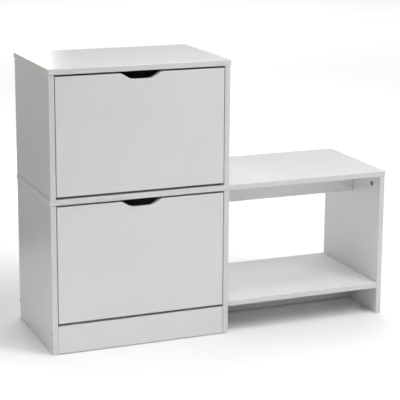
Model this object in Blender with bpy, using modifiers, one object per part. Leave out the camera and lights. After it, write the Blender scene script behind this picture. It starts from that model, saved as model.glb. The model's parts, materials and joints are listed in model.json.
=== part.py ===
"""Entryway bench: a tip-out shoe cabinet with a seat beside it, as flat-pack panels and fittings.

Metres, +Z up. The origin is on the floor, under the middle of the whole object.
+X runs along the length, from the cabinet tower to the bench; the front faces -Y.
"""

import math

import bmesh
import bpy
from mathutils import Matrix, Vector

# Driving dimensions
HEIGHT = 0.800
DEPTH = 0.352
CARCASS_LENGTH = 1.030
TOWER_LENGTH = 0.526
SEAT_HEIGHT = 0.442
SHELF_UNDERSIDE = 0.081
BOARD = 0.016
OVERHANG = 0.002
TOP_RAIL_HEIGHT = 0.080
PLINTH_HEIGHT = 0.0805
REAR_RAIL = (0.025, 0.085)
BACK_BOARD = 0.003
EDGE_ROUND = 0.0006

# Clearances
GAP = 0.0003
MERGE_DISTANCE = 1e-6
PLINTH_SETBACK = 0.0005
FLOOR_GAP = 0.0015
DOOR_SIDE_GAP = 0.002
DOOR_TOP_GAP = 0.0055
DOOR_BOTTOM_GAP = 0.007

# Grooves that hold the thin backs
GROOVE_DEPTH = 0.005
GROOVE_BITE = 0.0045
GROOVE_INSET = 0.010

# Tip-out flaps: sizes in the side view, measured back (y) and up (z) from the hinge axis
AXIS_BEHIND_DOOR = 0.007
AXIS_ABOVE_DOOR_FOOT = 0.048
FLAP_ANGLE = math.radians(50)
TRAY_BOARD = 0.012
TRAY_TOP = -0.028
DIVIDER_FRONT = 0.084
DIVIDER_TOP = 0.150
REAR_TRAY_TOP = 0.042
BIN_BACK = 0.180
BIN_BACK_TOP = 0.190

# Side brackets of the flaps, in the same side view
BRACKET_WALL = 0.003
BRACKET_FRONT = -AXIS_BEHIND_DOOR + GAP
BRACKET_FOOT, BRACKET_HEAD = -0.046, 0.235
BRACKET_REAR = 0.187
BRACKET_OUTLINE = [
    (BRACKET_FRONT, BRACKET_FOOT), (0.100, BRACKET_FOOT), (BRACKET_REAR, 0.020), (BRACKET_REAR, 0.195),
    (0.165, 0.200), (0.060, 0.172), (0.020, BRACKET_HEAD), (BRACKET_FRONT, BRACKET_HEAD),
]
BRACKET_CORNER = 0.008
FLANGE_WIDTH = 0.022
FLANGE_END_INSET = 0.009
BOSS_RADIUS = 0.0064
BOSS_LENGTH = 0.006
RIB_WIDTH = 0.010
RIB_THICKNESS = 0.003
RIB_END_INSET = 0.005

# Hinge and stop pins, pressed into the side boards
HINGE_PIN_RADIUS = 0.003
STOP_PIN_RADIUS = 0.004
PIN_SOCKET = 0.012
STOP_ARC_RADIUS = 0.070
STOP_REST_ANGLE = math.radians(70)
STOP_PIN_PROUD = 0.001
SLOT_STEPS = 12
SLOT_CAP_STEPS = 8

# Finger cut-out in each door's top edge
CUTOUT_DEPTH = 0.0175
CUTOUT_FLAT_HALF = 0.019
CUTOUT_SLOPE = math.radians(32)
CUTOUT_FOOT_RADIUS = 0.038
CUTOUT_LIP_RADIUS = 0.012

# Cam locks and carcass screws
CAM_RADIUS = 0.0072
CAM_BORE_DEPTH = 0.0125
CAM_RECESS = 0.0008
CAM_FROM_JOINT = 0.031
CAM_FROM_EDGE = 0.050
SHELF_CAM_FROM_JOINT = 0.033
CAM_SLOT = (0.0018, 0.0100, 0.0015)
OVERCUT = 0.002
SCREW_HEAD_RADIUS = 0.0035
SCREW_HEAD_LENGTH = 0.003
SCREW_SHANK_RADIUS = 0.0022
SCREW_LENGTH = 0.040
SCREW_RECESS = 0.0005
SCREW_SOCKET_RADIUS = 0.0015
SCREW_SOCKET_DEPTH = 0.002
PLINTH_SCREW_HEIGHTS = {"upper": 0.058, "lower": 0.026}

# Numbers of sides of the round pieces
ROUND_SIDES = 20
PIN_SIDES = 16
SHANK_SIDES = 12
HEXAGON = 6
SHARP_ANGLE = math.radians(40)

# Levels and planes that follow from the sizes above
FRONT, REAR = -DEPTH / 2, DEPTH / 2
LEFT, RIGHT = -CARCASS_LENGTH / 2, CARCASS_LENGTH / 2
TOWER_RIGHT = LEFT + TOWER_LENGTH
SEAT_UNDERSIDE = SEAT_HEIGHT - BOARD
TOP_UNDERSIDE = HEIGHT - BOARD
SHELF_TOP = SHELF_UNDERSIDE + BOARD
GROOVE_Y = REAR - GROOVE_INSET
INNER_LEFT = LEFT + BOARD
INNER_RIGHT = TOWER_RIGHT - BOARD
PLINTH_TOP = FLOOR_GAP + PLINTH_HEIGHT
AXIS_Y = FRONT + BOARD + AXIS_BEHIND_DOOR
DOOR_LEFT = INNER_LEFT + DOOR_SIDE_GAP
DOOR_RIGHT = INNER_RIGHT - DOOR_SIDE_GAP

# Each tier of the tower: its floor level, its ceiling level
TIERS = {"upper": (SEAT_HEIGHT, TOP_UNDERSIDE), "lower": (PLINTH_TOP, SEAT_UNDERSIDE)}
TIER_SIDES = {
    "upper": ("upper_left_side", "upper_right_side"),
    "lower": ("lower_left_side", "middle_upright"),
}


def clear_scene():
    for old in list(bpy.data.objects):
        bpy.data.objects.remove(old, do_unlink=True)


def new_collection(name):
    made = bpy.data.collections.new(name)
    bpy.context.scene.collection.children.link(made)
    return made


def material(name, colour, roughness, metallic=0.0):
    made = bpy.data.materials.new(name)
    made.use_nodes = True
    shader = made.node_tree.nodes["Principled BSDF"]
    shader.inputs["Base Color"].default_value = (*colour, 1.0)
    shader.inputs["Roughness"].default_value = roughness
    shader.inputs["Metallic"].default_value = metallic
    made.diffuse_color = (*colour, 1.0)
    return made


def adopt(piece, name, finish, collection):
    """Names an object, gives it its finish and moves it to its collection."""
    piece.name = name
    piece.data.name = name
    for owner in list(piece.users_collection):
        owner.objects.unlink(piece)
    collection.objects.link(piece)
    piece.data.materials.clear()
    if finish:
        piece.data.materials.append(finish)
    return piece


def box(name, low, high, finish, collection, rounding=0.0):
    """A box between two corners, with its size applied to the mesh, and small rounded edges if asked."""
    low, high = Vector(low), Vector(high)
    bpy.ops.mesh.primitive_cube_add(size=1.0)
    piece = adopt(bpy.context.object, name, finish, collection)
    piece.data.transform(Matrix.Diagonal((*(high - low), 1.0)))
    piece.location = (low + high) / 2
    if rounding:
        bevel = piece.modifiers.new("rounded_edges", "BEVEL")
        bevel.width = rounding
        bevel.segments = 1
    return piece


def rod(name, radius, start, end, finish, collection, sides=ROUND_SIDES):
    """A round rod from one point to another."""
    start, end = Vector(start), Vector(end)
    along = end - start
    bpy.ops.mesh.primitive_cylinder_add(radius=radius, depth=along.length, vertices=sides)
    piece = adopt(bpy.context.object, name, finish, collection)
    piece.data.transform(along.to_track_quat("Z", "Y").to_matrix().to_4x4())
    piece.location = (start + end) / 2
    piece.data.shade_smooth()
    piece.data.set_sharp_from_angle(angle=SHARP_ANGLE)
    return piece


def plate(name, outline, thickness, finish, collection, facing):
    """A flat plate from an outline. facing "X" reads points as (y, z); facing "Y" reads them as (x, z)."""
    curve = bpy.data.curves.new(name, "CURVE")
    curve.dimensions = "2D"
    curve.fill_mode = "BOTH"
    curve.extrude = thickness / 2
    spline = curve.splines.new("POLY")
    spline.points.add(len(outline) - 1)
    for point, (across, up) in zip(spline.points, outline):
        point.co = (across, up, 0, 1)
    spline.use_cyclic_u = True
    drawn = bpy.data.objects.new(name + "_outline", curve)
    collection.objects.link(drawn)
    evaluated = drawn.evaluated_get(bpy.context.evaluated_depsgraph_get())
    mesh = bpy.data.meshes.new_from_object(evaluated)
    bpy.data.objects.remove(drawn)
    weld(mesh)
    stand_up = Matrix.Rotation(math.radians(90), 4, "X")
    if facing == "X":
        stand_up = Matrix.Rotation(math.radians(90), 4, "Z") @ stand_up
    mesh.transform(stand_up)
    piece = bpy.data.objects.new(name, mesh)
    bpy.context.scene.collection.objects.link(piece)
    return adopt(piece, name, finish, collection)


def weld(mesh):
    """Joins a filled curve's caps to its walls."""
    work = bmesh.new()
    work.from_mesh(mesh)
    bmesh.ops.remove_doubles(work, verts=work.verts, dist=MERGE_DISTANCE)
    bmesh.ops.recalc_face_normals(work, faces=work.faces)
    work.to_mesh(mesh)
    work.free()


def combine(piece, other, operation):
    """Adds an exact Boolean step, and marks its other object as a guide."""
    step = piece.modifiers.new(other.name, "BOOLEAN")
    step.operation = operation
    step.solver = "EXACT"
    step.object = other
    other.hide_render = True
    other.display_type = "WIRE"


def arc(centre, radius, start, end, steps):
    """Points along an arc from one angle to another, both ends included."""
    angles = [start + (end - start) * i / steps for i in range(steps + 1)]
    return [(centre[0] + radius * math.cos(a), centre[1] + radius * math.sin(a)) for a in angles]


def rounded(outline, radius, steps=4):
    """The outline with each corner turned into an arc."""
    points = []
    for i, corner in enumerate(outline):
        here = Vector(corner)
        back = (Vector(outline[i - 1]) - here).normalized()
        ahead = (Vector(outline[(i + 1) % len(outline)]) - here).normalized()
        half = back.angle(ahead) / 2
        reach = radius / math.tan(half)
        centre = here + (back + ahead).normalized() * (radius / math.sin(half))
        first, last = here + back * reach - centre, here + ahead * reach - centre
        start = math.atan2(first.y, first.x)
        turn = (math.atan2(last.y, last.x) - start + math.pi) % (2 * math.pi) - math.pi
        points += arc(centre, radius, start, start + turn, steps)
    return points


def cutout_half():
    """The right half of a finger cut-out, from its lowest point to the door's top edge, as (x, depth)."""
    sine, cosine = math.sin(CUTOUT_SLOPE), math.cos(CUTOUT_SLOPE)
    foot = arc((CUTOUT_FLAT_HALF, CUTOUT_FOOT_RADIUS - CUTOUT_DEPTH), CUTOUT_FOOT_RADIUS,
               -math.pi / 2, CUTOUT_SLOPE - math.pi / 2, 5)
    rise = -CUTOUT_LIP_RADIUS * (1 - cosine) - foot[-1][1]
    lip_x = foot[-1][0] + rise / math.tan(CUTOUT_SLOPE) + CUTOUT_LIP_RADIUS * sine
    lip = arc((lip_x, -CUTOUT_LIP_RADIUS), CUTOUT_LIP_RADIUS, math.pi / 2 + CUTOUT_SLOPE, math.pi / 2, 3)
    return foot + lip


def door_outline(foot, head):
    """A door's front view: a rectangle with the finger cut-out in the middle of its top edge."""
    middle = (DOOR_LEFT + DOOR_RIGHT) / 2
    half = cutout_half()
    right_edge = [(middle + x, head + z) for x, z in reversed(half)]
    left_edge = [(middle - x, head + z) for x, z in half]
    corners = [(DOOR_LEFT, head), (DOOR_LEFT, foot), (DOOR_RIGHT, foot), (DOOR_RIGHT, head)]
    return right_edge + left_edge + corners


class Bench:
    """Holds the collections and finishes while the pieces are made."""

    def __init__(self):
        self.parts = new_collection("entryway_bench")
        self.cutters = new_collection("cutters")
        self.white = material("white_melamine", (0.80, 0.80, 0.79), 0.35)
        self.door_white = material("white_door_melamine", (0.76, 0.76, 0.75), 0.38)
        self.hardboard = material("white_hardboard", (0.72, 0.72, 0.70), 0.55)
        self.plastic = material("grey_plastic", (0.55, 0.56, 0.57), 0.45)
        self.steel = material("zinc_fitting", (0.35, 0.35, 0.36), 0.35, 0.9)

    def board(self, name, low, high):
        return box(name, low, high, self.white, self.parts, EDGE_ROUND)

    def cutter_box(self, name, low, high):
        return box(name, low, high, None, self.cutters)

    def cut(self, piece, cutter):
        combine(piece, cutter, "DIFFERENCE")

    def make_boards(self):
        """The carcass boards, by name."""
        upright_top = SEAT_UNDERSIDE - GAP
        top_low, top_high = SEAT_HEIGHT + GAP, TOP_UNDERSIDE - GAP
        bay_left, bay_right = TOWER_RIGHT + GAP, RIGHT - BOARD - GAP
        inner_left, inner_right = INNER_LEFT + GAP, INNER_RIGHT - GAP
        extents = {
            "top_panel": ((LEFT - OVERHANG, FRONT, TOP_UNDERSIDE), (TOWER_RIGHT + OVERHANG, REAR, HEIGHT)),
            "seat_panel": ((LEFT - OVERHANG, FRONT, SEAT_UNDERSIDE), (RIGHT + OVERHANG, REAR, SEAT_HEIGHT)),
            "upper_left_side": ((LEFT, FRONT, top_low), (INNER_LEFT, REAR, top_high)),
            "upper_right_side": ((INNER_RIGHT, FRONT, top_low), (TOWER_RIGHT, REAR, top_high)),
            "lower_left_side": ((LEFT, FRONT, 0), (INNER_LEFT, REAR, upright_top)),
            "middle_upright": ((INNER_RIGHT, FRONT, 0), (TOWER_RIGHT, REAR, upright_top)),
            "bench_end_panel": ((RIGHT - BOARD, FRONT, 0), (RIGHT, REAR, upright_top)),
            "front_plinth": ((inner_left, FRONT + PLINTH_SETBACK, FLOOR_GAP),
                             (inner_right, FRONT + BOARD, PLINTH_TOP)),
            "rear_rail": ((inner_left, REAR - BOARD, REAR_RAIL[0]), (inner_right, REAR, REAR_RAIL[1])),
            "bench_shelf": ((bay_left, FRONT, SHELF_UNDERSIDE), (bay_right, REAR, SHELF_TOP)),
            "bench_top_rail": ((bay_left, -BOARD / 2, SEAT_UNDERSIDE - TOP_RAIL_HEIGHT),
                               (bay_right, BOARD / 2, upright_top)),
            "bench_kick_rail": ((bay_left, -BOARD / 2, FLOOR_GAP),
                                (bay_right, BOARD / 2, SHELF_UNDERSIDE - GAP)),
        }
        return {name: self.board(name, low, high) for name, (low, high) in extents.items()}

    def make_backs(self, boards):
        """The two thin back panels and the grooves that they slide in."""
        half_slot = BACK_BOARD / 2 + GAP
        backs = {
            "upper": (SEAT_HEIGHT - GROOVE_BITE, TOP_UNDERSIDE + GROOVE_BITE),
            "lower": (REAR_RAIL[1] + GAP, SEAT_UNDERSIDE + GROOVE_BITE),
        }
        for tier, (low, high) in backs.items():
            box(f"{tier}_back_panel", (INNER_LEFT - GROOVE_BITE, GROOVE_Y - BACK_BOARD / 2, low),
                (INNER_RIGHT + GROOVE_BITE, GROOVE_Y + BACK_BOARD / 2, high), self.hardboard, self.parts)
        uprights = {
            "upper_left_side": INNER_LEFT, "lower_left_side": INNER_LEFT,
            "upper_right_side": INNER_RIGHT, "middle_upright": INNER_RIGHT,
        }
        for name, face in uprights.items():
            self.cut(boards[name], self.cutter_box(
                f"{name}_groove", (face - GROOVE_DEPTH, GROOVE_Y - half_slot, -OVERCUT),
                (face + GROOVE_DEPTH, GROOVE_Y + half_slot, HEIGHT)))
        levels = {"top_panel": [TOP_UNDERSIDE], "seat_panel": [SEAT_HEIGHT, SEAT_UNDERSIDE]}
        for name, faces in levels.items():
            for face in faces:
                low = (INNER_LEFT - GROOVE_DEPTH, GROOVE_Y - half_slot, face - GROOVE_DEPTH)
                high = (INNER_RIGHT + GROOVE_DEPTH, GROOVE_Y + half_slot, face + GROOVE_DEPTH)
                self.cut(boards[name], self.cutter_box(f"{name}_groove", low, high))

    def make_cam(self, name, board, mouth, into):
        """A cam lock in its blind bore. mouth is the bore's middle on the board's face, into its way in."""
        mouth, into = Vector(mouth), Vector(into)
        outer, deep = mouth + into * CAM_RECESS, mouth + into * CAM_BORE_DEPTH
        outside = mouth - into * OVERCUT
        self.cut(board, rod(f"{name}_bore", CAM_RADIUS + GAP, outside, deep, None, self.cutters))
        cam = rod(name, CAM_RADIUS, outer, deep - into * GAP, self.steel, self.parts)
        width, length, depth = CAM_SLOT
        level = Vector((0, 1, 0))
        for arm, other in ((level, into.cross(level)), (into.cross(level), level)):
            reach = Vector([abs(c) for c in arm * length / 2 + other * width / 2 + into * depth])
            self.cut(cam, self.cutter_box(f"{name}_slot", outer - reach, outer + reach))

    def make_cams(self, boards):
        """Pairs of cams, front and rear, at each joint between an upright and a level board."""
        below_top, above_seat = TOP_UNDERSIDE - CAM_FROM_JOINT, SEAT_HEIGHT + CAM_FROM_JOINT
        below_seat = SEAT_UNDERSIDE - CAM_FROM_JOINT
        left, right, down = Vector((-1, 0, 0)), Vector((1, 0, 0)), Vector((0, 0, 1))
        shelf_left, shelf_right = TOWER_RIGHT + SHELF_CAM_FROM_JOINT, RIGHT - BOARD - SHELF_CAM_FROM_JOINT
        joints = [
            ("upper_left_side", "top", left, INNER_LEFT, below_top),
            ("upper_left_side", "bottom", left, INNER_LEFT, above_seat),
            ("upper_right_side", "top", right, INNER_RIGHT, below_top),
            ("upper_right_side", "bottom", right, INNER_RIGHT, above_seat),
            ("lower_left_side", "top", left, INNER_LEFT, below_seat),
            ("middle_upright", "top", right, INNER_RIGHT, below_seat),
            ("bench_end_panel", "top", right, RIGHT - BOARD, below_seat),
            ("bench_shelf", "left", down, shelf_left, SHELF_UNDERSIDE),
            ("bench_shelf", "right", down, shelf_right, SHELF_UNDERSIDE),
        ]
        places = {"front": FRONT + CAM_FROM_EDGE, "rear": REAR - CAM_FROM_EDGE}
        for board_name, end, into, x, z in joints:
            for place, y in places.items():
                self.make_cam(f"{board_name}_{end}_{place}_cam", boards[board_name], (x, y, z), into)

    def make_screw(self, name, side, rail, face, into, y, z):
        """A screw through a side board into the end of a rail. face is the outer face's x."""
        start = face + into * SCREW_RECESS
        neck = start + into * SCREW_HEAD_LENGTH
        tip = start + into * SCREW_LENGTH
        outside = face - into * OVERCUT

        def turned(part, radius, first, last, sides, finish=None, collection=self.cutters):
            return rod(part, radius, (first, y, z), (last, y, z), finish, collection, sides)

        sink = turned(f"{name}_sink", SCREW_HEAD_RADIUS + GAP, outside, neck + into * GAP, PIN_SIDES)
        hole = turned(f"{name}_hole", SCREW_SHANK_RADIUS + GAP, outside, tip + into * GAP, SHANK_SIDES)
        self.cut(side, sink)
        self.cut(side, hole)
        self.cut(rail, hole)
        screw = turned(name, SCREW_HEAD_RADIUS, start, neck, PIN_SIDES, self.steel, self.parts)
        inside_head = neck - into * SCREW_HEAD_LENGTH / 2
        combine(screw, turned(f"{name}_shank", SCREW_SHANK_RADIUS, inside_head, tip, SHANK_SIDES), "UNION")
        socket_end = start + into * SCREW_SOCKET_DEPTH
        self.cut(screw, turned(f"{name}_socket", SCREW_SOCKET_RADIUS, outside, socket_end, HEXAGON))

    def make_screws(self, boards):
        for side_name, face, into in (("lower_left_side", LEFT, 1), ("middle_upright", TOWER_RIGHT, -1)):
            side = boards[side_name]
            for level, z in PLINTH_SCREW_HEIGHTS.items():
                name = f"{side_name}_plinth_{level}_screw"
                self.make_screw(name, side, boards["front_plinth"], face, into, FRONT + BOARD / 2, z)
            name = f"{side_name}_rear_rail_screw"
            self.make_screw(name, side, boards["rear_rail"], face, into, REAR - BOARD / 2, sum(REAR_RAIL) / 2)

    def make_bracket(self, tier, hand, inward, axis):
        """A flap's side plate, with its door flange, hinge boss, board ribs and the stop pin's slot."""
        name = f"{tier}_{hand}_bracket"
        outer = DOOR_LEFT if inward > 0 else DOOR_RIGHT
        inner = outer + inward * BRACKET_WALL
        middle = (outer + inner) / 2
        outline = rounded(BRACKET_OUTLINE, BRACKET_CORNER)
        bracket = plate(name, outline, BRACKET_WALL, self.plastic, self.parts, "X")
        bracket.location = (middle, axis.y, axis.z)

        flange_rear = BRACKET_FRONT + RIB_THICKNESS
        tray_foot, rear_foot = TRAY_TOP - TRAY_BOARD, REAR_TRAY_TOP - TRAY_BOARD
        flange = ((BRACKET_FRONT, BRACKET_FOOT + FLANGE_END_INSET),
                  (flange_rear, BRACKET_HEAD - FLANGE_END_INSET))
        ribs = {
            "front_tray": ((flange_rear - GAP, tray_foot - RIB_THICKNESS),
                           (DIVIDER_FRONT + TRAY_BOARD - RIB_END_INSET, tray_foot - GAP)),
            "divider": ((DIVIDER_FRONT - RIB_THICKNESS, TRAY_TOP + RIB_END_INSET),
                        (DIVIDER_FRONT - GAP, DIVIDER_TOP)),
            "rear_tray": ((DIVIDER_FRONT + TRAY_BOARD + RIB_END_INSET, rear_foot - RIB_THICKNESS),
                          (BIN_BACK - RIB_END_INSET, rear_foot - GAP)),
            "back_board": ((BIN_BACK - RIB_THICKNESS, REAR_TRAY_TOP + RIB_END_INSET),
                           (BIN_BACK - GAP, BIN_BACK_TOP)),
        }
        features = [("flange", FLANGE_WIDTH, flange)]
        features += [(f"{board}_rib", RIB_WIDTH, span) for board, span in ribs.items()]
        for feature, reach, (low, high) in features:
            near, far = sorted((middle, inner + inward * reach))
            bar = self.cutter_box(f"{name}_{feature}", (near, axis.y + low[0], axis.z + low[1]),
                                  (far, axis.y + high[0], axis.z + high[1]))
            combine(bracket, bar, "UNION")

        def on_axis(part, radius, first, last):
            return rod(part, radius, (first, axis.y, axis.z), (last, axis.y, axis.z), None, self.cutters)

        boss_end = inner + inward * BOSS_LENGTH
        combine(bracket, on_axis(f"{name}_boss", BOSS_RADIUS, middle, boss_end), "UNION")
        bore_ends = outer - inward * OVERCUT, boss_end + inward * OVERCUT
        self.cut(bracket, on_axis(f"{name}_hinge_bore", HINGE_PIN_RADIUS + GAP, *bore_ends))
        through = BRACKET_WALL + 2 * OVERCUT
        slot = plate(f"{name}_stop_slot", self.stop_slot(), through, None, self.cutters, "X")
        slot.location = bracket.location
        self.cut(bracket, slot)

    def stop_slot(self):
        """The curved slot round the hinge axis that the stop pin runs in, with rounded ends."""
        half = STOP_PIN_RADIUS + GAP
        high, low = STOP_REST_ANGLE, STOP_REST_ANGLE - FLAP_ANGLE
        ends = [(STOP_ARC_RADIUS * math.cos(a), STOP_ARC_RADIUS * math.sin(a)) for a in (low, high)]
        outside = arc((0, 0), STOP_ARC_RADIUS + half, low, high, SLOT_STEPS)
        high_cap = arc(ends[1], half, high, high + math.pi, SLOT_CAP_STEPS)[1:-1]
        inside = arc((0, 0), STOP_ARC_RADIUS - half, high, low, SLOT_STEPS)
        low_cap = arc(ends[0], half, low + math.pi, low + 2 * math.pi, SLOT_CAP_STEPS)[1:-1]
        return outside + high_cap + inside + low_cap

    def make_pins(self, tier, hand, inward, axis, side):
        """The hinge pin and the stop pin, each in its socket in the side board."""
        face = INNER_LEFT if inward > 0 else INNER_RIGHT
        plate_inner = face + inward * (DOOR_SIDE_GAP + BRACKET_WALL)
        stop = (axis.y + STOP_ARC_RADIUS * math.cos(STOP_REST_ANGLE),
                axis.z + STOP_ARC_RADIUS * math.sin(STOP_REST_ANGLE))
        pins = {
            "hinge_pin": (HINGE_PIN_RADIUS, axis.y, axis.z, plate_inner + inward * BOSS_LENGTH, self.steel),
            "stop_pin": (STOP_PIN_RADIUS, *stop, plate_inner + inward * STOP_PIN_PROUD, self.plastic),
        }
        for kind, (radius, y, z, end, finish) in pins.items():
            socket_end = face - inward * PIN_SOCKET
            self.cut(side, rod(f"{tier}_{hand}_{kind}_socket", radius + GAP, (face + inward * OVERCUT, y, z),
                               (socket_end, y, z), None, self.cutters, PIN_SIDES))
            rod(f"{tier}_{hand}_{kind}", radius, (socket_end + inward * GAP, y, z), (end, y, z),
                finish, self.parts, PIN_SIDES)

    def make_flap(self, tier, boards):
        """One tip-out flap: its door, two brackets and the boards of its two shoe rows."""
        floor, ceiling = TIERS[tier]
        foot, head = floor + DOOR_BOTTOM_GAP, ceiling - DOOR_TOP_GAP
        axis = Vector((0, AXIS_Y, foot + AXIS_ABOVE_DOOR_FOOT))
        pivot = bpy.data.objects.new(f"{tier}_flap_axis", None)
        pivot.location = axis
        self.parts.objects.link(pivot)
        flap_pieces = []

        door = plate(f"{tier}_door", door_outline(foot, head), BOARD, self.door_white, self.parts, "Y")
        door.location.y = FRONT + BOARD / 2
        soften = door.modifiers.new("rounded_edges", "BEVEL")
        soften.width = EDGE_ROUND
        soften.segments = 1
        soften.limit_method = "ANGLE"
        flap_pieces.append(door)

        left = DOOR_LEFT + BRACKET_WALL + GAP
        right = DOOR_RIGHT - BRACKET_WALL - GAP
        trays = {
            "front_tray": ((BRACKET_FRONT + RIB_THICKNESS + GAP, TRAY_TOP - TRAY_BOARD),
                           (DIVIDER_FRONT + TRAY_BOARD, TRAY_TOP)),
            "divider": ((DIVIDER_FRONT, TRAY_TOP + GAP), (DIVIDER_FRONT + TRAY_BOARD, DIVIDER_TOP)),
            "rear_tray": ((DIVIDER_FRONT + TRAY_BOARD + GAP, REAR_TRAY_TOP - TRAY_BOARD),
                          (BIN_BACK - GAP, REAR_TRAY_TOP)),
            "back_board": ((BIN_BACK, REAR_TRAY_TOP - TRAY_BOARD), (BIN_BACK + BACK_BOARD, BIN_BACK_TOP)),
        }
        for part, (low, high) in trays.items():
            finish = self.hardboard if part == "back_board" else self.white
            flap_pieces.append(box(
                f"{tier}_{part}", (left, axis.y + low[0], axis.z + low[1]),
                (right, axis.y + high[0], axis.z + high[1]), finish, self.parts))

        left_side, right_side = TIER_SIDES[tier]
        for hand, inward, side_name in (("left", 1, left_side), ("right", -1, right_side)):
            self.make_bracket(tier, hand, inward, axis)
            self.make_pins(tier, hand, inward, axis, boards[side_name])
            flap_pieces.append(bpy.data.objects[f"{tier}_{hand}_bracket"])

        bpy.context.view_layer.update()
        for piece in flap_pieces:
            piece.parent = pivot
            piece.matrix_parent_inverse = pivot.matrix_world.inverted()


def main():
    clear_scene()
    bench = Bench()
    boards = bench.make_boards()
    bench.make_backs(boards)
    bench.make_cams(boards)
    bench.make_screws(boards)
    for tier in TIERS:
        bench.make_flap(tier, boards)


main()
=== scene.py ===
import json
import math

import bmesh
import bpy
from mathutils import Matrix, Vector


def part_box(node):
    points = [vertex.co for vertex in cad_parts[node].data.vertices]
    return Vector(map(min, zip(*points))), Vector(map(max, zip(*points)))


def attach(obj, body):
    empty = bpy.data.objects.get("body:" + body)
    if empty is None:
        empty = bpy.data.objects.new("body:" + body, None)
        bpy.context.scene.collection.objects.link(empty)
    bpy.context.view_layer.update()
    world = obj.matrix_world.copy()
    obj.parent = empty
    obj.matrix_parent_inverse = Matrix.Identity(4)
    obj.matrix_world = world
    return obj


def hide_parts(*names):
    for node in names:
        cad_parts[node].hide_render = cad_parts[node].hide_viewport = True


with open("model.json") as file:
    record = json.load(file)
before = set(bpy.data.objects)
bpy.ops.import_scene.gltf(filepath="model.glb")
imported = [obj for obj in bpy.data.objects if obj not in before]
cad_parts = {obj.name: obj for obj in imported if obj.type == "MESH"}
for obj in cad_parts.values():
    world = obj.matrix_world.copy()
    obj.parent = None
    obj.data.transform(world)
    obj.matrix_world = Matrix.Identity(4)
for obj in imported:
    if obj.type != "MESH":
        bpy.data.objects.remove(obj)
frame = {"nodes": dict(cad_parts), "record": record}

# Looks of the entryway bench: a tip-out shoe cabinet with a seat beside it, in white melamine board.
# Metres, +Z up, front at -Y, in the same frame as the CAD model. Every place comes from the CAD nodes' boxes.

AXES = {"X": Vector((1, 0, 0)), "Y": Vector((0, 1, 0)), "Z": Vector((0, 0, 1))}

# Rounded edges of the boards
ARRIS = 0.0015
DOOR_ARRIS = 0.0014
PANEL_ARRIS = 0.0003
ARRIS_SEGMENTS = 3
SHARP_ANGLE = math.radians(35)
FLAT_COSINE = 0.9999
WELD_DISTANCE = 1e-7
SEAM_WELD_DISTANCE = 1e-6
COPLANAR_ANGLE = math.radians(1)

# Finger cut-out in each door's top edge
CUTOUT_DEPTH = 0.0175
CUTOUT_FLAT_HALF = 0.019
CUTOUT_SLOPE = math.radians(32)
CUTOUT_FOOT_RADIUS = 0.038
CUTOUT_LIP_RADIUS = 0.012
CUTOUT_STEPS = 10

# Noise stays mostly between these two values
NOISE_LOW, NOISE_HIGH = 0.3, 0.7

# Bores, grooves and what sits in them
FIT_GAP = 0.0003
GROOVE_END_GAP = 0.0005
CAM_BORE_EXTRA = 0.0008
CAM_CHAMFER = 0.0004
CAM_DISH = (0.0046, 0.0003)
CAM_CROSS = (0.0019, 0.0080, 0.0022)
CAM_ARROW = (0.0009, 0.0056, 0.0005)
CAM_TURN_FIRST, CAM_TURN_STEP = math.radians(18), math.radians(47)
SCREW_HEAD_RADIUS = 0.0035
SCREW_HEAD_LENGTH = 0.003
SCREW_CROWN = 0.0004
SCREW_ROOT_RADIUS, SCREW_CREST_RADIUS = 0.0016, 0.0022
SCREW_PITCH = 0.003
THREAD_RISE, THREAD_CREST, THREAD_FALL = 0.4, 0.6, 0.7
HEX_RADIUS, HEX_DEPTH = 0.0017, 0.0022
PIN_CHAMFER = 0.0005
PIN_SOCKET_GAP = 0.0003
ROUND_STEPS = 48
SMALL_STEPS = 32
PAN_STEPS = 20

# Pan-head screws that hold the brackets to the doors and the flap boards
PAN_RADIUS, PAN_HEIGHT, PAN_CROWN = 0.0032, 0.0018, 0.0008
PAN_SHANK_RADIUS, PAN_SHANK_LENGTH, PAN_TIP_SHARE = 0.0015, 0.010, 0.75
PAN_CROWN_STEPS = 4
PAN_CROSS = (0.0009, 0.0036, 0.0011)
FLANGE_SCREW_SPREAD = (0.16, 0.5, 0.84)
FLANGE_SCREW_SHARE = 0.55
RIB_SCREW_SPREAD = (0.25, 0.75)

# Bracket mouldings
BRACKET_ARRIS = 0.0004
BRACKET_ARRIS_SEGMENTS = 2
BRACKET_WALL, RIB_THICKNESS = 0.003, 0.003
FLANGE_WIDTH = 0.022
RIB_WIDTH = 0.010

# Which narrow edges of a board are left as raw chipboard: ends that butt on another board, and feet
RAW_ENDS = {
    "upper_left_side": "-Z +Z", "upper_right_side": "-Z +Z", "lower_left_side": "-Z +Z",
    "middle_upright": "-Z +Z", "bench_end_panel": "-Z +Z", "front_plinth": "-X +X -Z",
    "rear_rail": "-X +X -Z +Z", "bench_shelf": "-X +X", "bench_top_rail": "-X +X +Z",
    "bench_kick_rail": "-X +X -Z +Z", "front_tray": "-X +X +Y -Y", "divider": "-X +X -Z",
    "rear_tray": "-X +X -Y +Y",
}

scene = bpy.context.scene
nodes = frame["nodes"]
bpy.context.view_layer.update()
body_of_node = {n: b for b, members in frame["record"]["behaviour"]["bodies"].items() for n in members}


# ---------------------------------------------------------------- materials

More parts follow.
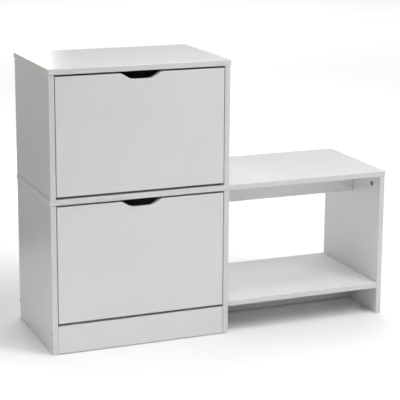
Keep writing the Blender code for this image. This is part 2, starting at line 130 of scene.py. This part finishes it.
class Surface:
    """A Principled material: colour, roughness and relief from patterns in the piece's own coordinates."""

    def __init__(self, name, **sockets):
        self.material = bpy.data.materials.new(name)
        self.material.use_nodes = True
        self.tree = self.material.node_tree
        self.shader = self.tree.nodes["Principled BSDF"]
        for socket, value in sockets.items():
            self.shader.inputs[socket.replace("_", " ")].default_value = value
        self.place = self.tree.nodes.new("ShaderNodeTexCoord").outputs["Object"]
        self.relief = None

    def node(self, kind, values, **links):
        """A node with its sockets set by name, and others linked to it."""
        made = self.tree.nodes.new(kind)
        for socket, value in values.items():
            made.inputs[socket].default_value = value
        for socket, source in links.items():
            self.tree.links.new(source, made.inputs[socket])
        return made

    def stretched(self, stretch):
        """The piece's coordinates, squeezed so that a pattern runs longer along some axes."""
        return self.node("ShaderNodeMapping", {"Scale": stretch}, Vector=self.place).outputs["Vector"]

    def noise(self, per_metre, detail=2.0, stretch=None):
        place = self.stretched(stretch) if stretch else self.place
        made = self.node("ShaderNodeTexNoise", {"Scale": per_metre, "Detail": detail}, Vector=place)
        return made.outputs["Fac"]

    def flakes(self, per_metre, stretch=None):
        """One random tone for each cell of a Voronoi pattern."""
        place = self.stretched(stretch) if stretch else self.place
        cells = self.node("ShaderNodeTexVoronoi", {"Scale": per_metre}, Vector=place)
        return self.node("ShaderNodeSeparateColor", {}, Color=cells.outputs["Color"]).outputs["Red"]

    def blend(self, first, second, share):
        """Two patterns added, with the second's share."""
        mixed = self.tree.nodes.new("ShaderNodeMix")
        mixed.inputs["Factor"].default_value = share
        self.tree.links.new(first, mixed.inputs["A"])
        self.tree.links.new(second, mixed.inputs["B"])
        return mixed.outputs["Result"]

    def colour(self, pattern, *stops):
        """The base colour runs through the stops, each a place from 0 to 1 and a colour."""
        ramp = self.node("ShaderNodeValToRGB", {}, Fac=pattern)
        elements = ramp.color_ramp.elements
        while len(elements) < len(stops):
            elements.new(0.5)
        for element, (place, tint) in zip(elements, stops):
            element.position = place
            element.color = (*tint, 1.0)
        self.tree.links.new(ramp.outputs["Color"], self.shader.inputs["Base Color"])

    def roughness(self, pattern, low, high):
        ends = {"From Min": NOISE_LOW, "From Max": NOISE_HIGH, "To Min": low, "To Max": high}
        spread = self.node("ShaderNodeMapRange", ends, Value=pattern)
        self.tree.links.new(spread.outputs["Result"], self.shader.inputs["Roughness"])

    def bump(self, pattern, depth):
        """Relief of about this depth in metres, on top of any made before."""
        links = {"Height": pattern}
        if self.relief:
            links["Normal"] = self.relief
        made = self.node("ShaderNodeBump", {"Distance": depth, "Strength": 1.0}, **links)
        self.relief = made.outputs["Normal"]
        self.tree.links.new(self.relief, self.shader.inputs["Normal"])


def shade(colour, factor):
    return tuple(c * factor for c in colour)


def melamine(name, colour, smooth, rough):
    """White laminate: a faint cloudiness, a fine printed grain, and an orange-peel press texture."""
    surface = Surface(name)
    clouds = surface.noise(7.0, 4.0)
    grain = surface.noise(260.0, 2.0)
    surface.colour(surface.blend(clouds, grain, 0.3),
                   (NOISE_LOW, shade(colour, 0.985)), (NOISE_HIGH, shade(colour, 1.012)))
    surface.roughness(surface.blend(surface.noise(18.0, 3.0), grain, 0.35), smooth, rough)
    surface.bump(surface.noise(90.0, 1.0), 0.000012)
    surface.bump(surface.noise(620.0, 2.0), 0.000012)
    return surface.material


def edge_band(name, colour):
    """Thin plastic band glued round a board: a little warmer than the faces, with a fine scraped grain."""
    surface = Surface(name)
    scrape = surface.noise(420.0, 3.0)
    surface.colour(surface.blend(surface.noise(12.0, 3.0), scrape, 0.4),
                   (NOISE_LOW, shade(colour, 0.96)), (NOISE_HIGH, shade(colour, 1.02)))
    surface.roughness(surface.noise(90.0, 2.0), 0.34, 0.46)
    surface.bump(scrape, 0.00004)
    return surface.material


def chipboard():
    """The raw core of a board: pressed chips, coarse in the middle."""
    surface = Surface("chipboard")
    chips = surface.flakes(330.0, (1.0, 1.0, 1.6))
    surface.colour(surface.blend(chips, surface.noise(900.0, 2.0), 0.4),
                   (0.15, (0.16, 0.095, 0.05)), (0.45, (0.36, 0.245, 0.14)),
                   (0.7, (0.50, 0.37, 0.23)), (0.9, (0.60, 0.48, 0.32)))
    surface.roughness(chips, 0.75, 0.95)
    surface.bump(surface.blend(chips, surface.noise(1400.0, 2.0), 0.5), 0.0003)
    return surface.material


def fibreboard():
    """The unpainted back of a thin back panel: fine pressed fibres."""
    surface = Surface("raw_fibreboard")
    fibres = surface.blend(surface.noise(160.0, 6.0, (1.0, 1.0, 0.35)), surface.noise(14.0, 3.0), 0.4)
    surface.colour(fibres, (0.3, (0.27, 0.18, 0.105)), (0.5, (0.36, 0.25, 0.155)),
                   (0.72, (0.44, 0.32, 0.205)))
    surface.roughness(fibres, 0.7, 0.85)
    surface.bump(surface.noise(700.0, 3.0), 0.00008)
    return surface.material


def moulded_plastic(name, colour):
    """Injection-moulded plastic with a fine spark-eroded grain and faint flow marks."""
    surface = Surface(name)
    grain = surface.noise(1100.0, 2.0)
    surface.colour(surface.noise(22.0, 3.0),
                   (NOISE_LOW, shade(colour, 0.93)), (NOISE_HIGH, shade(colour, 1.05)))
    surface.roughness(surface.noise(60.0, 2.0), 0.38, 0.52)
    surface.bump(grain, 0.00004)
    return surface.material


def zinc(name, colour, smooth, rough):
    """Die-cast or plated zinc: cloudy, with small pits."""
    surface = Surface(name, Metallic=1.0)
    clouds = surface.noise(420.0, 4.0)
    surface.colour(clouds, (NOISE_LOW, shade(colour, 0.72)), (NOISE_HIGH, shade(colour, 1.15)))
    surface.roughness(clouds, smooth, rough)
    surface.bump(surface.noise(2600.0, 3.0), 0.00005)
    return surface.material


def pale_floor():
    """Matte white studio paper."""
    surface = Surface("pale_floor", Specular_IOR_Level=0.2)
    tone = surface.noise(0.8, 3.0)
    surface.colour(tone, (0.3, (0.92, 0.92, 0.92)), (0.7, (0.94, 0.94, 0.94)))
    surface.roughness(surface.noise(6.0, 2.0), 0.7, 0.85)
    return surface.material


def black_card():
    """Dull black felt on a studio card, which keeps the left side of the tower from washing out."""
    surface = Surface("black_card", Specular_IOR_Level=0.0)
    surface.colour(surface.noise(40.0, 3.0), (0.3, (0.018, 0.018, 0.018)), (0.7, (0.024, 0.024, 0.024)))
    return surface.material


WHITE = (0.76, 0.76, 0.762)
DOOR_WHITE = (0.75, 0.75, 0.742)
BAND_WHITE = (0.72, 0.705, 0.69)

FACE = melamine("white_melamine", WHITE, 0.25, 0.275)
BAND = edge_band("white_edge_band", BAND_WHITE)
RAW = chipboard()
DOOR_FACE = melamine("white_door_melamine", DOOR_WHITE, 0.36, 0.39)
DOOR_BAND = edge_band("white_door_edge", DOOR_WHITE)
PAINTED_BACK = melamine("white_back_paint", shade(WHITE, 0.96), 0.45, 0.6)
RAW_BACK = fibreboard()
PLASTIC = moulded_plastic("grey_bracket_plastic", (0.42, 0.43, 0.44))
PIN_PLASTIC = moulded_plastic("grey_pin_plastic", (0.30, 0.31, 0.32))
# The cams' zinc is much darker than real zinc's grey: painted shade, so that the cams look as black as shaded
# holes.
SHADE_DARKENED_CAM_ZINC = zinc("cast_zinc_painted_shade", (0.22, 0.22, 0.23), 0.38, 0.58)
SCREW_ZINC = zinc("zinc_plate", (0.42, 0.43, 0.45), 0.25, 0.42)

BOARD_FINISH = [FACE, BAND, RAW]
DOOR_FINISH = [DOOR_FACE, DOOR_BAND, RAW]
BACK_FINISH = [PAINTED_BACK, RAW_BACK]
FACE_SLOT, BAND_SLOT, RAW_SLOT = range(3)


# ---------------------------------------------------------------- mesh helpers

def piece_from(work, name, finishes):
    """An object in the scene from a bmesh, with its finishes."""
    bmesh.ops.recalc_face_normals(work, faces=work.faces)
    mesh = bpy.data.meshes.new(name)
    work.to_mesh(mesh)
    work.free()
    for finish in finishes:
        mesh.materials.append(finish)
    piece = bpy.data.objects.new(name, mesh)
    scene.collection.objects.link(piece)
    return piece


def settle(piece, cutters=()):
    """Takes the cutters out of a piece, and shades its rounded edges smooth and its flat faces flat."""
    for cutter in cutters:
        step = piece.modifiers.new(cutter.name, "BOOLEAN")
        step.operation = "DIFFERENCE"
        step.solver = "EXACT"
        step.object = cutter
    if cutters:
        evaluated = piece.evaluated_get(bpy.context.evaluated_depsgraph_get())
        mesh = bpy.data.meshes.new_from_object(evaluated)
        piece.modifiers.clear()
        piece.data = mesh
        for cutter in cutters:
            bpy.data.objects.remove(cutter)
    piece.data.shade_smooth()
    piece.data.set_sharp_from_angle(angle=SHARP_ANGLE)
    flat = piece.modifiers.new("flat_faces", "WEIGHTED_NORMAL")
    flat.keep_sharp = True
    return piece


def stand_for(piece, node):
    """The piece rides with its CAD node's body, and is shown in its stead."""
    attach(piece, body_of_node[node])
    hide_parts(node)


def boxed(low, high):
    work = bmesh.new()
    bmesh.ops.create_cube(work, size=1.0)
    size, middle = high - low, (low + high) / 2
    place = Matrix.Translation(middle) @ Matrix.Diagonal((*size, 1.0))
    bmesh.ops.transform(work, matrix=place, verts=work.verts)
    return work


def box_cutter(name, low, high):
    """A cutter whose cut faces show the raw core of a board."""
    cutter = piece_from(boxed(Vector(low), Vector(high)), name, BOARD_FINISH)
    for face in cutter.data.polygons:
        face.material_index = RAW_SLOT
    return cutter


def turned(name, profile, base, along, finishes, steps=ROUND_STEPS):
    """A closed turned shape. The profile runs from the axis back to it as (radius, distance from base)."""
    work = bmesh.new()
    ring = [work.verts.new((radius, 0, distance)) for radius, distance in profile]
    edges = [work.edges.new(pair) for pair in zip(ring, ring[1:])]
    bmesh.ops.spin(work, geom=ring + edges, axis=(0, 0, 1), cent=(0, 0, 0), angle=math.tau, steps=steps,
                   use_merge=True)
    bmesh.ops.remove_doubles(work, verts=work.verts, dist=WELD_DISTANCE)
    turn = along.to_track_quat("Z", "Y").to_matrix().to_4x4()
    bmesh.ops.transform(work, matrix=Matrix.Translation(base) @ turn, verts=work.verts)
    return piece_from(work, name, finishes)


def bore_cutter(name, profile, base, along, steps=ROUND_STEPS):
    cutter = turned(name, profile, base, along, BOARD_FINISH, steps)
    for face in cutter.data.polygons:
        face.material_index = RAW_SLOT
    return cutter


def prism(name, outline, depth, base, along, spin=0.0):
    """A cutter with a flat outline, reaching the same depth to both sides of its base across an axis."""
    work = bmesh.new()
    floor_face = work.faces.new([work.verts.new((x, y, -depth)) for x, y in outline])
    grown = bmesh.ops.extrude_face_region(work, geom=[floor_face])
    top = [v for v in grown["geom"] if isinstance(v, bmesh.types.BMVert)]
    bmesh.ops.translate(work, verts=top, vec=(0, 0, 2 * depth))
    turn = along.to_track_quat("Z", "Y").to_matrix().to_4x4() @ Matrix.Rotation(spin, 4, "Z")
    bmesh.ops.transform(work, matrix=Matrix.Translation(base) @ turn, verts=work.verts)
    return piece_from(work, name, ())


def polygon(sides, radius, middle=(0.0, 0.0)):
    """A regular polygon's corners."""
    return arc(middle, radius, 0, math.tau * (1 - 1 / sides), sides - 1)


def cross(width, length):
    """The outline of a cross recess, as one quarter turned four times."""
    half, reach = width / 2, length / 2
    quarter = [Vector((half, half)), Vector((half, reach)), Vector((-half, reach))]
    return [Matrix.Rotation(turn * math.pi / 2, 2) @ corner for turn in range(4) for corner in quarter]


# ---------------------------------------------------------------- boards

def long_axis(low, high, pick):
    size = high - low
    return pick(AXES, key=lambda axis: abs(size.dot(AXES[axis])))


def raw_ends(node):
    """Unit vectors of the board's ends that are raw chipboard."""
    for key, ends in RAW_ENDS.items():
        if node.endswith(key):
            return [AXES[end[1]] * (1 if end[0] == "+" else -1) for end in ends.split()]
    return []


def edge_rounded(node, radius, segments=ARRIS_SEGMENTS):
    low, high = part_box(node)
    work = boxed(low, high)
    bmesh.ops.bevel(work, geom=work.edges, offset=radius, segments=segments, profile=0.5, affect="EDGES")
    return work


def make_board(node, cutters=(), radius=ARRIS):
    """A board of its CAD node's size: laminated faces, banded edges with a rounded arris, and raw ends."""
    low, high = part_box(node)
    thickness = AXES[long_axis(low, high, min)]
    work = edge_rounded(node, radius)
    work.normal_update()
    ends = raw_ends(node)
    for face in work.faces:
        if abs(face.normal.dot(thickness)) > FLAT_COSINE:
            face.material_index = FACE_SLOT
        elif any(face.normal.dot(end) > FLAT_COSINE for end in ends):
            face.material_index = RAW_SLOT
        else:
            face.material_index = BAND_SLOT
    board = settle(piece_from(work, f"{node}_board", BOARD_FINISH), cutters)
    stand_for(board, node)
    return board


def make_back(node):
    """A thin panel, painted in front and raw behind."""
    work = edge_rounded(node, PANEL_ARRIS, 1)
    work.normal_update()
    for face in work.faces:
        face.material_index = 0 if face.normal.y < -FLAT_COSINE else 1
    panel = settle(piece_from(work, f"{node}_sheet", BACK_FINISH))
    stand_for(panel, node)


def arc(centre, radius, start, end, steps):
    angles = [start + (end - start) * i / steps for i in range(steps + 1)]
    return [(centre[0] + radius * math.cos(a), centre[1] + radius * math.sin(a)) for a in angles]


def cutout_half():
    """The right half of a finger cut-out, from its lowest point up to the door's top edge, as (x, depth)."""
    sine, cosine = math.sin(CUTOUT_SLOPE), math.cos(CUTOUT_SLOPE)
    foot = arc((CUTOUT_FLAT_HALF, CUTOUT_FOOT_RADIUS - CUTOUT_DEPTH), CUTOUT_FOOT_RADIUS,
               -math.pi / 2, CUTOUT_SLOPE - math.pi / 2, CUTOUT_STEPS)
    rise = -CUTOUT_LIP_RADIUS * (1 - cosine) - foot[-1][1]
    lip_x = foot[-1][0] + rise / math.tan(CUTOUT_SLOPE) + CUTOUT_LIP_RADIUS * sine
    lip = arc((lip_x, -CUTOUT_LIP_RADIUS), CUTOUT_LIP_RADIUS, math.pi / 2 + CUTOUT_SLOPE, math.pi / 2,
              CUTOUT_STEPS)
    return foot + lip


def make_door(node):
    """A door with its finger cut-out, its edges rounded all the way round."""
    low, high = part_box(node)
    middle = (low.x + high.x) / 2
    half = cutout_half()
    outline = [(low.x, low.z), (high.x, low.z), (high.x, high.z)]
    outline += [(middle + x, high.z + z) for x, z in reversed(half)]
    outline += [(middle - x, high.z + z) for x, z in half]
    outline += [(low.x, high.z)]
    work = bmesh.new()
    front = work.faces.new([work.verts.new((x, low.y, z)) for x, z in outline])
    grown = bmesh.ops.extrude_face_region(work, geom=[front])
    moved = [v for v in grown["geom"] if isinstance(v, bmesh.types.BMVert)]
    bmesh.ops.translate(work, verts=moved, vec=(0, high.y - low.y, 0))
    bmesh.ops.recalc_face_normals(work, faces=work.faces)
    sharp = [e for e in work.edges if e.calc_face_angle() > SHARP_ANGLE]
    bmesh.ops.bevel(work, geom=sharp, offset=DOOR_ARRIS, segments=ARRIS_SEGMENTS, profile=0.5, affect="EDGES")
    work.normal_update()
    for face in work.faces:
        face.material_index = FACE_SLOT if abs(face.normal.y) > FLAT_COSINE else BAND_SLOT
    door = settle(piece_from(work, f"{node}_leaf", DOOR_FINISH))
    stand_for(door, node)


# ---------------------------------------------------------------- fittings

def fitting_axis(node, board):
    """The middle of a fitting's outer end, its direction into the board, its radius and its length."""
    low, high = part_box(node)
    board_low, board_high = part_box(board)
    size, middle = high - low, (low + high) / 2
    along = AXES[long_axis(board_low, board_high, min)]
    length = size.dot(along)
    radius = (size.x + size.y + size.z - length) / 4
    board_middle = ((board_low + board_high) / 2).dot(along)
    into = along if middle.dot(along) < board_middle else -along
    outer = middle - into * length / 2
    return outer, into, radius, length


def board_face(board, into):
    """How far along into the board's outer face lies."""
    low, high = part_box(board)
    return min(low.dot(into), high.dot(into))


def make_cam(node, board, turn):
    """A cam lock with a dished face, a cross recess and an arrow mark. Returns the cutter of its bore."""
    outer, into, radius, length = fitting_axis(node, board)
    deep = length + CAM_BORE_EXTRA
    mouth = outer + into * (board_face(board, into) - outer.dot(into))
    dish_radius, dish_depth = CAM_DISH
    profile = [(0, dish_depth), (dish_radius, dish_depth), (dish_radius + dish_depth, 0),
               (radius - CAM_CHAMFER, 0), (radius, CAM_CHAMFER), (radius, length - CAM_CHAMFER),
               (radius - CAM_CHAMFER, length), (0, length)]
    # The cam's zinc is darkened as painted shade of its bore.
    cam = turned(f"{node}_lock", profile, outer, into, [SHADE_DARKENED_CAM_ZINC])
    width, across, depth = CAM_CROSS
    arrow_radius, arrow_place, arrow_depth = CAM_ARROW
    settle(cam, [
        prism(f"{node}_cross", cross(width, across), depth, outer, into, turn),
        prism(f"{node}_arrow", polygon(3, arrow_radius, (arrow_place, 0)), arrow_depth, outer, into, turn),
    ])
    stand_for(cam, node)
    bore = radius + FIT_GAP
    wall = (outer - mouth).length + length + FIT_GAP
    return bore_cutter(f"{node}_bore", [(0, -deep), (bore, -deep), (bore, wall), (0, wall)], mouth, into)


def make_screw(node, side, rail):
    """A carcass screw with a hexagon socket and ridges for its thread. Returns its two boards' cutters."""
    outer, into, radius, length = fitting_axis(node, side)
    profile = [(0, 0), (SCREW_HEAD_RADIUS - SCREW_CROWN, 0), (SCREW_HEAD_RADIUS, SCREW_CROWN),
               (SCREW_HEAD_RADIUS, SCREW_HEAD_LENGTH), (SCREW_CREST_RADIUS, SCREW_HEAD_LENGTH)]
    turns = int((length - SCREW_HEAD_LENGTH) / SCREW_PITCH) - 1
    for i in range(turns):
        start = SCREW_HEAD_LENGTH + SCREW_PITCH * (i + 0.5)
        profile += [(SCREW_ROOT_RADIUS, start), (SCREW_ROOT_RADIUS, start + SCREW_PITCH * THREAD_RISE),
                    (SCREW_CREST_RADIUS, start + SCREW_PITCH * THREAD_CREST),
                    (SCREW_CREST_RADIUS, start + SCREW_PITCH * THREAD_FALL)]
    profile += [(SCREW_ROOT_RADIUS, length - SCREW_ROOT_RADIUS), (0, length)]
    screw = turned(f"{node}_steel", profile, outer, into, [SCREW_ZINC], SMALL_STEPS)
    settle(screw, [prism(f"{node}_socket", polygon(6, HEX_RADIUS), HEX_DEPTH, outer, into)])
    stand_for(screw, node)
    mouth = outer + into * (board_face(side, into) - outer.dot(into))
    recess = (outer - mouth).length
    neck = recess + SCREW_HEAD_LENGTH + FIT_GAP
    sink, hole, end = SCREW_HEAD_RADIUS + FIT_GAP, SCREW_CREST_RADIUS + FIT_GAP, recess + length + FIT_GAP
    stepped = [(0, -neck), (sink, -neck), (sink, neck), (hole, neck), (hole, end), (0, end)]
    return [bore_cutter(f"{node}_{name}_hole", stepped, mouth, into, SMALL_STEPS) for name in (side, rail)]


def make_pin(node, board, finish):
    """A pin with chamfered ends. Returns the cutter of its socket."""
    low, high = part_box(node)
    board_low, board_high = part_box(board)
    into = AXES["X"] if (board_low.x + board_high.x) / 2 > (low.x + high.x) / 2 else -AXES["X"]
    middle, length = (low + high) / 2, high.x - low.x
    radius = (high.z - low.z) / 2
    start = middle - into * length / 2
    profile = [(0, 0), (radius - PIN_CHAMFER, 0), (radius, PIN_CHAMFER), (radius, length - PIN_CHAMFER),
               (radius - PIN_CHAMFER, length), (0, length)]
    pin = settle(turned(f"{node}_rod", profile, start, into, [finish], SMALL_STEPS))
    stand_for(pin, node)
    bore, end = radius + FIT_GAP, length + PIN_SOCKET_GAP
    return bore_cutter(f"{node}_socket", [(0, 0), (bore, 0), (bore, end), (0, end)], start, into, SMALL_STEPS)


def make_bracket(node):
    """A bracket moulding: its CAD shape with flat faces made whole and its edges rounded."""
    work = bmesh.new()
    work.from_mesh(nodes[node].data)
    bmesh.ops.remove_doubles(work, verts=work.verts, dist=SEAM_WELD_DISTANCE)
    bmesh.ops.dissolve_limit(work, angle_limit=COPLANAR_ANGLE, verts=work.verts, edges=work.edges)
    sharp = [e for e in work.edges if e.is_manifold and e.calc_face_angle() > SHARP_ANGLE]
    bmesh.ops.bevel(work, geom=sharp, offset=BRACKET_ARRIS, segments=BRACKET_ARRIS_SEGMENTS, profile=0.5,
                    affect="EDGES", clamp_overlap=True)
    bracket = settle(piece_from(work, f"{node}_moulding", [PLASTIC]))
    stand_for(bracket, node)


def pan_screw():
    """The mesh of one pan-head screw, its seat at the origin and its shank down +Z."""
    profile = [(0, -PAN_HEIGHT), (PAN_RADIUS - PAN_CROWN, -PAN_HEIGHT)]
    profile += arc((PAN_RADIUS - PAN_CROWN, PAN_CROWN - PAN_HEIGHT), PAN_CROWN, -math.pi / 2, 0,
                   PAN_CROWN_STEPS)[1:]
    profile += [(PAN_RADIUS, 0), (PAN_SHANK_RADIUS, 0), (PAN_SHANK_RADIUS, PAN_SHANK_LENGTH * PAN_TIP_SHARE),
                (0, PAN_SHANK_LENGTH)]
    screw = turned("pan_screw", profile, Vector(), AXES["Z"], [SCREW_ZINC], PAN_STEPS)
    width, across, depth = PAN_CROSS
    settle(screw, [prism("pan_cross", cross(width, across), depth, Vector((0, 0, -PAN_HEIGHT)), AXES["Z"])])
    mesh = screw.data
    bpy.data.objects.remove(screw)
    return mesh


def make_bracket_screws(tier, hand, screw):
    """The screws of one bracket, from its flange into the door and from its ribs into the shoe-row boards."""
    low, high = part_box(f"{tier}_{hand}_bracket")
    outer, inward = (low.x, 1) if hand == "left" else (high.x, -1)
    wall = outer + inward * BRACKET_WALL
    flange_x, rib_x = wall + inward * FLANGE_WIDTH * FLANGE_SCREW_SHARE, wall + inward * RIB_WIDTH / 2
    seats = [((flange_x, low.y + RIB_THICKNESS, low.z + (high.z - low.z) * share), -AXES["Y"])
             for share in FLANGE_SCREW_SPREAD]
    for share in RIB_SCREW_SPREAD:
        for board in ("front_tray", "rear_tray"):
            start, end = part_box(f"{tier}_{board}")
            seats.append(((rib_x, start.y + (end.y - start.y) * share, start.z - RIB_THICKNESS), AXES["Z"]))
        start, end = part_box(f"{tier}_divider")
        seats.append(((rib_x, start.y - RIB_THICKNESS, start.z + (end.z - start.z) * share), AXES["Y"]))
    work = bmesh.new()
    for i, (seat, into) in enumerate(seats):
        first = len(work.verts)
        work.from_mesh(screw)
        work.verts.ensure_lookup_table()
        turn = into.to_track_quat("Z", "Y").to_matrix().to_4x4() @ Matrix.Rotation(CAM_TURN_STEP * i, 4, "Z")
        bmesh.ops.transform(work, matrix=Matrix.Translation(seat) @ turn, verts=work.verts[first:])
    screws = settle(piece_from(work, f"{tier}_{hand}_bracket_screws", [SCREW_ZINC]))
    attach(screws, f"{tier}_flap")


# ---------------------------------------------------------------- the bench

def groove_cutter(name, panel, board):
    """The slot that a back panel's edge slides in."""
    low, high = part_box(panel)
    gap, end = Vector((0, FIT_GAP, 0)), Vector((GROOVE_END_GAP, 0, GROOVE_END_GAP))
    board_low, board_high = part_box(board)
    low, high = low - gap - end, high + gap + end
    if board_high.z - board_low.z > board_high.x - board_low.x:
        low.z, high.z = board_low.z - end.z, board_high.z + end.z
    return box_cutter(name, low, high)


def make_carcass():
    """The boards with their bores and grooves, and the fittings that sit in them."""
    cutters = {}

    def cut(board, cutter):
        cutters.setdefault(board, []).append(cutter)

    tier_sides = {
        "upper": ("upper_left_side", "upper_right_side"),
        "lower": ("lower_left_side", "middle_upright"),
    }
    tier_levels = {"upper": ("top_panel", "seat_panel"), "lower": ("seat_panel",)}
    for tier, sides in tier_sides.items():
        panel = f"{tier}_back_panel"
        for board in (*sides, *tier_levels[tier]):
            cut(board, groove_cutter(f"{tier}_{board}_groove", panel, board))
        for hand, board in zip(("left", "right"), sides):
            cut(board, make_pin(f"{tier}_{hand}_hinge_pin", board, SCREW_ZINC))
            cut(board, make_pin(f"{tier}_{hand}_stop_pin", board, PIN_PLASTIC))
    for i, node in enumerate(sorted(n for n in nodes if n.endswith("_cam"))):
        board = node.rsplit("_", 3)[0]
        cut(board, make_cam(node, board, CAM_TURN_FIRST + CAM_TURN_STEP * i))
    for node in sorted(n for n in nodes if n.endswith("_screw")):
        side = next(board for board in ("lower_left_side", "middle_upright") if node.startswith(board))
        rail = "front_plinth" if "plinth" in node else "rear_rail"
        for board, cutter in zip((side, rail), make_screw(node, side, rail)):
            cut(board, cutter)
    names = (
        "top_panel", "seat_panel", "upper_left_side", "upper_right_side", "lower_left_side",
        "middle_upright", "bench_end_panel", "front_plinth", "rear_rail", "bench_shelf",
        "bench_top_rail", "bench_kick_rail",
    )
    for name in names:
        make_board(name, cutters.get(name, ()))
    for tier in tier_sides:
        make_back(f"{tier}_back_panel")


def make_flap(tier, screw):
    """One tip-out flap: door, shoe rows, bracket mouldings and their screws."""
    make_door(f"{tier}_door")
    for part in ("front_tray", "divider", "rear_tray"):
        make_board(f"{tier}_{part}", radius=PANEL_ARRIS * 2)
    make_back(f"{tier}_back_board")
    for hand in ("left", "right"):
        make_bracket(f"{tier}_{hand}_bracket")
        make_bracket_screws(tier, hand, screw)


make_carcass()
bracket_screw = pan_screw()
for tier in ("upper", "lower"):
    make_flap(tier, bracket_screw)


# ---------------------------------------------------------------- camera

camera = bpy.data.objects.new("camera", bpy.data.cameras.new("camera"))
scene.collection.objects.link(camera)
camera.data.lens = 124.59
camera.data.sensor_width = 36
camera.data.shift_y = -0.1
camera.data.clip_end = 100
camera.location = (-1.5067, -3.688, 1.3559)
camera.rotation_euler = (math.radians(90 - 12.411), math.radians(-0.33), math.radians(-22.042))
scene.camera = camera
scene.view_settings.view_transform = "Standard"


# ---------------------------------------------------------------- floor, card and lights

def stage_plane(name, size, place, turn, finish):
    """A flat rectangle for the studio: the floor or a card."""
    work = bmesh.new()
    bmesh.ops.create_grid(work, x_segments=1, y_segments=1, size=0.5)
    spread = Matrix.Diagonal((*size, 1.0, 1.0))
    bmesh.ops.transform(work, matrix=Matrix.Translation(place) @ turn @ spread, verts=work.verts)
    plane = piece_from(work, name, [finish])
    return plane


def area_light(name, place, target, width, watts, spread=math.pi, tint=(1.0, 1.0, 1.0)):
    """A square soft box that the camera doesn't see."""
    data = bpy.data.lights.new(name, "AREA")
    data.size = width
    data.energy = watts
    data.spread = spread
    data.color = tint
    light = bpy.data.objects.new(name, data)
    scene.collection.objects.link(light)
    light.location = place
    light.rotation_euler = (Vector(target) - Vector(place)).to_track_quat("-Z", "Y").to_euler()
    light.visible_camera = False


FLOOR_SIZE = 60.0
WORLD_STRENGTH = 0.29
CARD_SIZE, CARD_PLACE = (2.0, 1.6), (-1.65, 0.85, 0.82)
DAYLIGHT, WARM = (0.985, 0.99, 1.0), (1.0, 0.95, 0.92)

stage_plane("floor", (FLOOR_SIZE, FLOOR_SIZE), (0, 0, 0), Matrix(), pale_floor())
card = stage_plane("black_card", CARD_SIZE, CARD_PLACE, Matrix.Rotation(math.pi / 2, 4, "X"), black_card())
card.visible_camera = False

world = bpy.data.worlds.new("studio")
scene.world = world
world.use_nodes = True
world.node_tree.nodes["Background"].inputs["Color"].default_value = (1, 1, 1, 1)
world.node_tree.nodes["Background"].inputs["Strength"].default_value = WORLD_STRENGTH

area_light("overhead", (0.3, -0.9, 2.6), (0, 0, 0.3), 1.2, 17.5, tint=DAYLIGHT)
area_light("key", (1.5, -2.0, 2.4), (0, 0, 0.5), 0.8, 23)
area_light("left_side", (-1.3, 0.0, 1.0), (-0.515, 0.0, 0.9), 0.5, 2.2, tint=WARM)
area_light("through_bay", (-0.3, 2.2, 1.0), (0.4, 0, 0.3), 1.0, 8)
area_light("sweep", (2.5, 7.0, 6.0), (2.5, 7.0, 0), 9.0, 535)
area_light("floor_behind", (1.2, 2.2, 3.0), (1.2, 2.2, 0), 2.0, 9, spread=1.2)
area_light("floor_in_front", (-0.1, -0.95, 2.0), (-0.2, -0.75, 0), 1.0, 1.7, spread=1.0)
area_light("floor_left", (-1.0, -0.7, 1.6), (-0.9, -0.6, 0), 0.6, 0.9, spread=0.8)
area_light("floor_right", (1.2, -0.5, 1.8), (1.2, -0.5, 0), 1.0, 1.4, spread=1.0)
